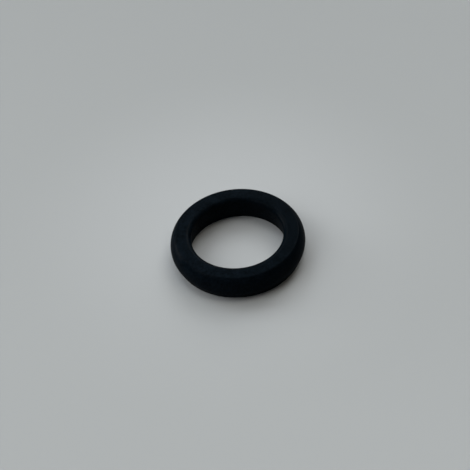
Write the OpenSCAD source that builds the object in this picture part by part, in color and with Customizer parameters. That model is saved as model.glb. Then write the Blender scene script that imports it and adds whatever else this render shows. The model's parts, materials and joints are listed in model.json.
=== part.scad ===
// Rubber gasket: a moulded sealing ring with flat faces and a crowned outer side, which tapers in below the
// crown. The bore is straight above and opens out a little towards the lower face, to lead a pipe in.
// It lies on its lower face, centred on the Z axis, with that face at Z = 0. Millimetres.

/* [Ring] */
// Diameter of the straight part of the bore
bore_d = 21; // [10:0.5:40]
// Width of the ring from the bore to the crown of the outer side
wall = 4.9; // [4.4:0.05:6]
// Height from the lower flat face to the upper one
height = 6.3; // [5.4:0.1:8]

/* [Outer side] */
// Height of the crown, the widest line of the outer side, above the lower face
crown_z = 3.3; // [2.8:0.1:4]
// How far in from the crown the flat upper face ends
face_inset = 1.55; // [1.2:0.05:2]
// Angle between the axis and the tapered side below the crown, in degrees
taper_angle = 23; // [12:1:35]

/* [Bore] */
// How far the bore's wall steps back where it meets the lower face
flare = 0.8; // [0.2:0.05:1]
// Height over which the bore opens out
flare_h = 3; // [2:0.1:4]

/* [Moulded edges] */
// Rounding where a flat face meets the outer side
outer_edge_r = 0.5; // [0.2:0.05:0.8]
// Rounding where the upper face meets the bore
bore_edge_r = 1.2; // [0.3:0.1:1.8]
// Rounding where the lower face meets the bore
foot_edge_r = 0.3; // [0.1:0.05:0.6]

/* [Hidden] */
$fn = 160;

rubber_colour = [0.06, 0.07, 0.085];

bore_r = bore_d / 2;
outer_r = bore_r + wall;

// Overlap where two curves touch, far too small to see, so that rounded numbers leave no slit there
hair = 0.0002;

// Where the upper face begins, outside the bore's upper rounding
bore_edge_x = bore_r + bore_edge_r;

// Slope of the flare, and the centre of the rounding that touches it and the lower face
flare_angle = atan2(flare, flare_h);
foot_edge_x = bore_r + flare + foot_edge_r * (1 - sin(flare_angle)) / cos(flare_angle);

// Centre of the upper outer rounding, and how far it lies above the crown
upper_edge_x = outer_r - face_inset;
upper_edge_rise = height - crown_z - outer_edge_r;

// Radius and centre of the crown's curve, which touches the outer radius and runs into that rounding
crown_r = (pow(face_inset, 2) + pow(upper_edge_rise, 2) - pow(outer_edge_r - hair, 2))
    / (2 * (face_inset - outer_edge_r + hair));
crown_x = outer_r - crown_r;

// Height at which the two meet
crown_top_z = crown_z + crown_r * sin(atan2(upper_edge_rise, crown_r - face_inset));

// Centre of the lower outer rounding, which touches the lower face and the taper
lower_edge_x = crown_x
    + (crown_r - outer_edge_r - (crown_z - outer_edge_r) * sin(taper_angle)) / cos(taper_angle);

// Points at a distance from a centre: square to the taper and outwards, square to the flare and inwards
function off_taper(x, z, distance) =
    [x + distance * cos(taper_angle), z - distance * sin(taper_angle)];
function off_flare(x, z, distance) =
    [x - distance * cos(flare_angle), z - distance * sin(flare_angle)];

// Section of the ring to the right of its axis: X is the radius and Y is the height
module ring_section() {
    // Straight-sided core, with its corners under the curves that follow
    polygon([
        [foot_edge_x, 0],
        [lower_edge_x, 0],
        off_taper(lower_edge_x, outer_edge_r, outer_edge_r - hair),
        off_taper(crown_x, crown_z, crown_r - hair),
        [upper_edge_x, height - outer_edge_r],
        [upper_edge_x, height],
        [bore_edge_x, height],
        [bore_r, height - bore_edge_r],
        [bore_r, flare_h],
        off_flare(foot_edge_x, foot_edge_r, foot_edge_r - hair)
    ]);
    // Crown of the outer side
    intersection() {
        translate([crown_x, crown_z])
            circle(r = crown_r);
        polygon([
            [lower_edge_x, outer_edge_r],
            [outer_r + crown_r, outer_edge_r],
            [outer_r + crown_r, crown_top_z],
            [upper_edge_x, crown_top_z]
        ]);
    }
    // Rounded outer edges of both faces
    translate([upper_edge_x, height - outer_edge_r])
        circle(r = outer_edge_r);
    translate([lower_edge_x, outer_edge_r])
        circle(r = outer_edge_r);
    // Rounded upper end of the bore
    intersection() {
        translate([bore_edge_x, height - bore_edge_r])
            circle(r = bore_edge_r);
        translate([bore_r, height - bore_edge_r])
            square(bore_edge_r);
    }
    // Rounded lower end of the bore
    translate([foot_edge_x, foot_edge_r])
        circle(r = foot_edge_r);
}

// The whole ring, moulded in one piece
module gasket_ring() {
    color(rubber_colour)
        rotate_extrude()
            ring_section();
}

gasket_ring();
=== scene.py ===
"""Rubber gasket: one moulded black ring, lying flat on a pale surface."""
import json
import math

import bpy
from mathutils import Matrix, Vector


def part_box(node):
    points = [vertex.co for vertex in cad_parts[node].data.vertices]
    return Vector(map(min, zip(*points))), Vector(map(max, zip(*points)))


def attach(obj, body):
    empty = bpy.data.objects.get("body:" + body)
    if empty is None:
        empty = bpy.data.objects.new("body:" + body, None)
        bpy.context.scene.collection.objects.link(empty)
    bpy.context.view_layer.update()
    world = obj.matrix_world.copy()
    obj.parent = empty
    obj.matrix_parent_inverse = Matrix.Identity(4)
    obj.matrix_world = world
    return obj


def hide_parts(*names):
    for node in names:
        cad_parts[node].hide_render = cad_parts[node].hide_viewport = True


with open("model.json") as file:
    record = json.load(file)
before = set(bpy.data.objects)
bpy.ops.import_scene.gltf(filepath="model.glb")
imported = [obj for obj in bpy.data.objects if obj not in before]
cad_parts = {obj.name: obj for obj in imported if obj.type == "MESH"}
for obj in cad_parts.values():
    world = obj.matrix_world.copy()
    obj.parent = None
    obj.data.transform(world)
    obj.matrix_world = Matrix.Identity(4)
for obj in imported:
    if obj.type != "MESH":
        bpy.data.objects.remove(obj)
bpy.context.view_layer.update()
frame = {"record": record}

MM = 0.001

# Sizes of the ring that the frame has
RING_NODE = "gasket_ring"
ring_low, ring_high = (Vector(corner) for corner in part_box(RING_NODE))
bore_mount = next(mount for mount in frame["record"]["mounts"] if mount["name"] == "bore")
HEIGHT = ring_high.z - ring_low.z
BORE_R = bore_mount["dims"]["r_mm"] * MM

# Sizes of the section, as the moulded part has them
WALL = 4.9 * MM
OUTER_R = BORE_R + WALL
CROWN_Z = 3.3 * MM
FACE_INSET = 1.55 * MM
TAPER_ANGLE = math.radians(23)
FLARE = 0.8 * MM
FLARE_HEIGHT = 3.0 * MM
OUTER_EDGE_R = 0.5 * MM
BORE_EDGE_R = 1.2 * MM
FOOT_EDGE_R = 0.3 * MM

# Fineness of the mesh: steps round the ring, and length and least number of steps along an arc
STEPS_ROUND = 288
CURVE_STEP = 0.12 * MM
LEAST_ARC_STEPS = 4

# Where the photograph was taken from, for a picture 470 pixels wide
PICTURE_PX = 470
SENSOR_MM = 36
VIEW_ELEVATION = math.radians(45.55)
VIEW_ROLL = math.radians(-6.45)
VIEW_DISTANCE = 0.385
FOCAL_PX = 1679.0
RING_CENTRE_PX = (238.95, 251.35)

# Colours, as they look on a screen
RUBBER_BLACK = "#050A0E"
RUBBER_BLOOM = "#0E161D"
# The table's far colour is the dark end of painted shade, and its pale colour is a painted pool of light
FLOOR_NEAR = "#B3B7B8"
FLOOR_FAR_SHADED = "#AAAEAF"
FLOOR_PAINTED_LIGHT = "#BCC0C2"
ROOM_GREY = "#A0A4A5"
WHITE_LIGHT = "#FFFFFF"
COOL_LIGHT = "#F3FAFF"
WARM_LIGHT = "#FFF8EA"

# Rubber: size of its bloom's patches, and size and depth of its grain. The real grain is finer than this,
# and is drawn coarser so that it shows at all.
PATCH_SIZE = 3 * MM
GRAIN_SIZE = 0.5 * MM
GRAIN_DEPTH = 0.02 * MM

# Share of the grain in the mottle that patches and grain make, and where in it the bloom starts and is full
GRAIN_SHARE = 0.6
BLOOM_STARTS = 0.36
BLOOM_FULL = 0.64

# Painted shade on the rubber: from where to where, left to right, the bloom thins so that the ring's right
# side looks less lit, and to what share
RIGHT_SHADE_FROM_X = -2 * MM
RIGHT_SHADE_TO_X = 14 * MM
RIGHT_SHADE_SHARE = 0.45

# Table: its size, and the painted shade that darkens it: which way it darkens, and from where to where
# along that way
FLOOR_SIZE = 4.0
FLOOR_SHADE_WAY = (0.4, 0.9, 0)
FLOOR_SHADE_FROM = -40 * MM
FLOOR_SHADE_TO = 90 * MM

# Painted light: middle and reach of the pool of light painted round the ring, where the table is paler
PAINTED_LIGHT_MIDDLE = (-2 * MM, 9 * MM, 0)
PAINTED_LIGHT_REACH = 58 * MM

# Soft lights: name, direction (0 is the camera's side, 90 its right), height and spread in degrees,
# strength and colour
SOFT_LIGHTS = (
    ("window_behind", 180, 27, 30, 0.54, WHITE_LIGHT),
    ("window_behind_left", 210, 45, 30, 0.60, COOL_LIGHT),
    ("window_behind_right", 150, 45, 30, 0.66, WHITE_LIGHT),
    ("low_window_right", 150, 27, 30, 0.35, WHITE_LIGHT),
    ("low_window_left", 240, 27, 30, 0.43, WHITE_LIGHT),
    ("low_light_left", 240, 9, 30, 0.68, WHITE_LIGHT),
    ("pale_wall_left", 285, 45, 42, 0.79, WHITE_LIGHT),
    ("pale_wall_right", 90, 63, 30, 0.33, WARM_LIGHT),
    ("ceiling", 180, 80, 30, 0.45, WHITE_LIGHT),
)


def linear(hex_colour, alpha=1.0):
    """A screen colour such as #1A2B3C as linear red, green, blue and alpha."""
    channels = [int(hex_colour[i:i + 2], 16) / 255 for i in (1, 3, 5)]
    straight = [c / 12.92 if c <= 0.04045 else ((c + 0.055) / 1.055) ** 2.4 for c in channels]
    return (*straight, alpha)


def add_node(tree, kind, inputs=None, **settings):
    """Adds a node; each input is a plain value, or the output of another node to link to it."""
    node = tree.nodes.new(kind)
    for name, value in settings.items():
        setattr(node, name, value)
    for socket, value in (inputs or {}).items():
        if isinstance(value, bpy.types.NodeSocket):
            tree.links.new(value, node.inputs[socket])
        else:
            node.inputs[socket].default_value = value
    return node


def new_material(name):
    """An empty material and its node tree."""
    material = bpy.data.materials.new(name)
    material.use_nodes = True
    material.node_tree.nodes.clear()
    return material, material.node_tree


def moulded_rubber():
    """Black rubber from a mould: dull, finely grained, with a blue-grey bloom in random patches, which is
    thinned to the right as painted shade on the less lit side.
    """
    material, tree = new_material("moulded_black_rubber")
    place = add_node(tree, "ShaderNodeTexCoord").outputs["Object"]
    patches = add_node(tree, "ShaderNodeTexNoise", {
        "Vector": place, "Scale": 1 / PATCH_SIZE, "Detail": 3.0, "Roughness": 0.55})
    grain = add_node(tree, "ShaderNodeTexNoise", {
        "Vector": place, "Scale": 1 / GRAIN_SIZE, "Detail": 2.0})
    mottle = add_node(tree, "ShaderNodeMix", {
        "Factor": GRAIN_SHARE, "A": patches.outputs["Fac"], "B": grain.outputs["Fac"]})
    cover = add_node(tree, "ShaderNodeMapRange", {
        "Value": mottle.outputs["Result"], "From Min": BLOOM_STARTS, "From Max": BLOOM_FULL})
    # Painted shade: the bloom thins towards the right, so that the right side of the ring, where less light
    # falls, looks darker
    across = add_node(tree, "ShaderNodeSeparateXYZ", {"Vector": place})
    right_shade = add_node(tree, "ShaderNodeMapRange", {
        "Value": across.outputs["X"], "From Min": RIGHT_SHADE_FROM_X, "From Max": RIGHT_SHADE_TO_X,
        "To Min": 1.0, "To Max": RIGHT_SHADE_SHARE})
    bloom_and_right_shade = add_node(tree, "ShaderNodeMath", {
        0: cover.outputs["Result"], 1: right_shade.outputs["Result"]}, operation="MULTIPLY")
    tint = add_node(tree, "ShaderNodeMix", {
        "Factor": bloom_and_right_shade.outputs["Value"], "A": linear(RUBBER_BLACK), "B": linear(RUBBER_BLOOM)},
        data_type="RGBA")
    grain_bump = add_node(tree, "ShaderNodeBump", {
        "Height": grain.outputs["Fac"], "Strength": 0.25, "Distance": GRAIN_DEPTH})
    # The weak gloss is a coat alone, because the rubber's own gloss would be too bright at flat angles
    surface = add_node(tree, "ShaderNodeBsdfPrincipled", {
        "Base Color": tint.outputs["Result"], "Roughness": 0.6, "Specular IOR Level": 0.0,
        "Normal": grain_bump.outputs["Normal"], "Coat Weight": 0.18, "Coat Roughness": 0.22,
        "Coat IOR": 1.15, "Coat Normal": grain_bump.outputs["Normal"]})
    add_node(tree, "ShaderNodeOutputMaterial", {"Surface": surface.outputs["BSDF"]})
    return material


def matt_floor():
    """Smooth dull table top, with painted shade that darkens it to the back and right, and a painted pool
    of light that makes it paler round the ring.
    """
    material, tree = new_material("table_top_painted_light_and_shade")
    place = add_node(tree, "ShaderNodeTexCoord").outputs["Object"]
    # Painted shade: the table darkens to the back and right, standing in for light falling off across it
    along = add_node(tree, "ShaderNodeVectorMath", {0: place, 1: FLOOR_SHADE_WAY}, operation="DOT_PRODUCT")
    painted_shade_along = add_node(tree, "ShaderNodeMapRange", {
        "Value": along.outputs["Value"], "From Min": FLOOR_SHADE_FROM, "From Max": FLOOR_SHADE_TO})
    plain = add_node(tree, "ShaderNodeMix", {
        "Factor": painted_shade_along.outputs["Result"], "A": linear(FLOOR_NEAR), "B": linear(FLOOR_FAR_SHADED)},
        data_type="RGBA")
    # Painted light: the table is painted paler in a pool round the ring, standing in for brighter light
    # there
    distance = add_node(tree, "ShaderNodeVectorMath", {0: place, 1: PAINTED_LIGHT_MIDDLE}, operation="DISTANCE")
    painted_light_pool = add_node(tree, "ShaderNodeMapRange", {
        "Value": distance.outputs["Value"], "From Max": PAINTED_LIGHT_REACH, "To Min": 1.0, "To Max": 0.0},
        interpolation_type="SMOOTHSTEP")
    tint = add_node(tree, "ShaderNodeMix", {
        "Factor": painted_light_pool.outputs["Result"], "A": plain.outputs["Result"], "B": linear(FLOOR_PAINTED_LIGHT)},
        data_type="RGBA")
    surface = add_node(tree, "ShaderNodeBsdfPrincipled", {
        "Base Color": tint.outputs["Result"], "Roughness": 0.7, "Specular IOR Level": 0.2})
    add_node(tree, "ShaderNodeOutputMaterial", {"Surface": surface.outputs["BSDF"]})
    return material


def edit_mode(piece):
    """Makes a piece the only one selected and opens it for editing."""
    bpy.ops.object.select_all(action="DESELECT")
    bpy.context.view_layer.objects.active = piece
    piece.select_set(True)
    bpy.ops.object.mode_set(mode="EDIT")


def draw_line(dx, dz):
    """Extends the section from its last point, in a straight line."""
    bpy.ops.mesh.extrude_region_move(TRANSFORM_OT_translate={"value": (dx, 0, dz)})


def draw_arc(centre_x, centre_z, angle, radius):
    """Extends the section from its last point, turning clockwise about a centre as seen from the front."""
    steps = max(LEAST_ARC_STEPS, round(angle * radius / CURVE_STEP))
    bpy.ops.mesh.spin(steps=steps, angle=angle, center=(centre_x, 0, centre_z), axis=(0, -1, 0))


def model_ring():
    """The ring: its section drawn as a chain of lines and arcs, then spun round the axis."""
    quarter = math.pi / 2

    # Centres of the upper roundings, of the bore and of the outer side
    bore_edge_x = BORE_R + BORE_EDGE_R
    edge_x = OUTER_R - FACE_INSET
    edge_rise = HEIGHT - CROWN_Z - OUTER_EDGE_R

    # The crown, which touches the outer radius and runs into the upper rounding
    crown_r = (FACE_INSET ** 2 + edge_rise ** 2 - OUTER_EDGE_R ** 2) / (2 * (FACE_INSET - OUTER_EDGE_R))
    crown_x = OUTER_R - crown_r
    crown_start = math.atan2(edge_rise, crown_r - FACE_INSET)

    # The taper below the crown, and the centre of the rounding that it ends in
    taper_z = CROWN_Z - crown_r * math.sin(TAPER_ANGLE)
    taper_drop = taper_z - OUTER_EDGE_R * (1 - math.sin(TAPER_ANGLE))
    taper_run = taper_drop * math.tan(TAPER_ANGLE)
    foot_x = crown_x + (crown_r - OUTER_EDGE_R) * math.cos(TAPER_ANGLE) - taper_run

    # The flare of the bore, and the centre of the rounding at its lower end
    flare_angle = math.atan2(FLARE, FLARE_HEIGHT)
    flare_low_z = FOOT_EDGE_R * (1 - math.sin(flare_angle))
    flare_rise = FLARE_HEIGHT - flare_low_z
    flare_low_x = BORE_R + flare_rise * math.tan(flare_angle)
    foot_bore_x = flare_low_x + FOOT_EDGE_R * math.cos(flare_angle)

    # One point, where the straight bore begins above the flare
    bpy.ops.object.select_all(action="DESELECT")
    bpy.ops.mesh.primitive_plane_add(size=MM, location=(BORE_R, 0, FLARE_HEIGHT))
    ring = bpy.context.object
    ring.name = ring.data.name = "moulded_ring"
    bpy.ops.object.transform_apply(location=True)
    edit_mode(ring)
    bpy.ops.mesh.select_all(action="SELECT")
    bpy.ops.mesh.merge(type="CENTER")

    # The section, up the bore, over the top, down the outer side and back along the lower face
    draw_line(0, HEIGHT - FLARE_HEIGHT - BORE_EDGE_R)
    draw_arc(bore_edge_x, HEIGHT - BORE_EDGE_R, quarter, BORE_EDGE_R)
    draw_line(edge_x - bore_edge_x, 0)
    draw_arc(edge_x, HEIGHT - OUTER_EDGE_R, quarter - crown_start, OUTER_EDGE_R)
    draw_arc(crown_x, CROWN_Z, crown_start + TAPER_ANGLE, crown_r)
    draw_line(-taper_run, -taper_drop)
    draw_arc(foot_x, OUTER_EDGE_R, quarter - TAPER_ANGLE, OUTER_EDGE_R)
    draw_line(foot_bore_x - foot_x, 0)
    draw_arc(foot_bore_x, FOOT_EDGE_R, quarter - flare_angle, FOOT_EDGE_R)
    draw_line(BORE_R - flare_low_x, flare_rise)

    # The section closed, spun round the axis and smoothed
    weld = CURVE_STEP / 100
    bpy.ops.mesh.select_all(action="SELECT")
    bpy.ops.mesh.remove_doubles(threshold=weld)
    bpy.ops.mesh.select_all(action="SELECT")
    bpy.ops.mesh.spin(steps=STEPS_ROUND, angle=2 * math.pi, center=(0, 0, 0), axis=(0, 0, 1))
    bpy.ops.mesh.select_all(action="SELECT")
    bpy.ops.mesh.remove_doubles(threshold=weld)
    bpy.ops.mesh.normals_make_consistent(inside=False)
    bpy.ops.object.mode_set(mode="OBJECT")
    bpy.ops.object.shade_smooth()
    bpy.ops.object.modifier_add(type="WEIGHTED_NORMAL")
    bpy.ops.object.modifier_apply(modifier=ring.modifiers[-1].name)
    return ring


def add_floor():
    """The pale surface that the ring lies on."""
    bpy.ops.object.select_all(action="DESELECT")
    bpy.ops.mesh.primitive_plane_add(size=FLOOR_SIZE)
    floor = bpy.context.object
    floor.name = "table_top"
    floor.data.materials.append(matt_floor())


def add_camera():
    """The camera, set so that the ring lies where it does in the photograph."""
    data = bpy.data.cameras.new("photo_camera")
    data.sensor_width = SENSOR_MM
    data.lens = FOCAL_PX / PICTURE_PX * SENSOR_MM
    data.clip_start = 0.01
    camera = bpy.data.objects.new("photo_camera", data)
    bpy.context.scene.collection.objects.link(camera)
    turn = Matrix.Rotation(math.pi / 2 - VIEW_ELEVATION, 4, "X") @ Matrix.Rotation(VIEW_ROLL, 4, "Z")
    metres_per_px = VIEW_DISTANCE / FOCAL_PX
    right = (RING_CENTRE_PX[0] - PICTURE_PX / 2) * metres_per_px
    down = (RING_CENTRE_PX[1] - PICTURE_PX / 2) * metres_per_px
    ring_seen = Vector((right, -down, -VIEW_DISTANCE))
    camera.matrix_world = Matrix.Translation(-(turn @ ring_seen)) @ turn
    bpy.context.scene.camera = camera


def add_room():
    """A plain grey backdrop for views from low down; only the camera sees it, and it gives no light."""
    room = bpy.data.worlds.new("pale_room")
    room.use_nodes = True
    room.node_tree.nodes.clear()
    backdrop = add_node(room.node_tree, "ShaderNodeBackground", {"Color": linear(ROOM_GREY)})
    add_node(room.node_tree, "ShaderNodeOutputWorld", {"Surface": backdrop.outputs["Background"]})
    bpy.context.scene.world = room
    room.cycles_visibility.diffuse = False
    room.cycles_visibility.glossy = False


def add_lights():
    """Soft daylight from behind and from the left, as from windows and pale walls; the near side is dim."""
    for name, azimuth, elevation, spread, strength, colour in SOFT_LIGHTS:
        data = bpy.data.lights.new(name, "SUN")
        data.angle = math.radians(spread)
        data.energy = strength
        data.color = linear(colour)[:3]
        lamp = bpy.data.objects.new(name, data)
        bpy.context.scene.collection.objects.link(lamp)
        turn = math.radians(azimuth)
        rise = math.radians(elevation)
        place = Vector((math.sin(turn) * math.cos(rise), -math.cos(turn) * math.cos(rise), math.sin(rise)))
        lamp.location = place
        lamp.rotation_euler = place.to_track_quat("Z", "Y").to_euler()


add_camera()
ring = model_ring()
ring.data.materials.append(moulded_rubber())
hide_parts(RING_NODE)
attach(ring, "root")
add_floor()
add_room()
add_lights()

bpy.context.scene.view_settings.view_transform = "Standard"
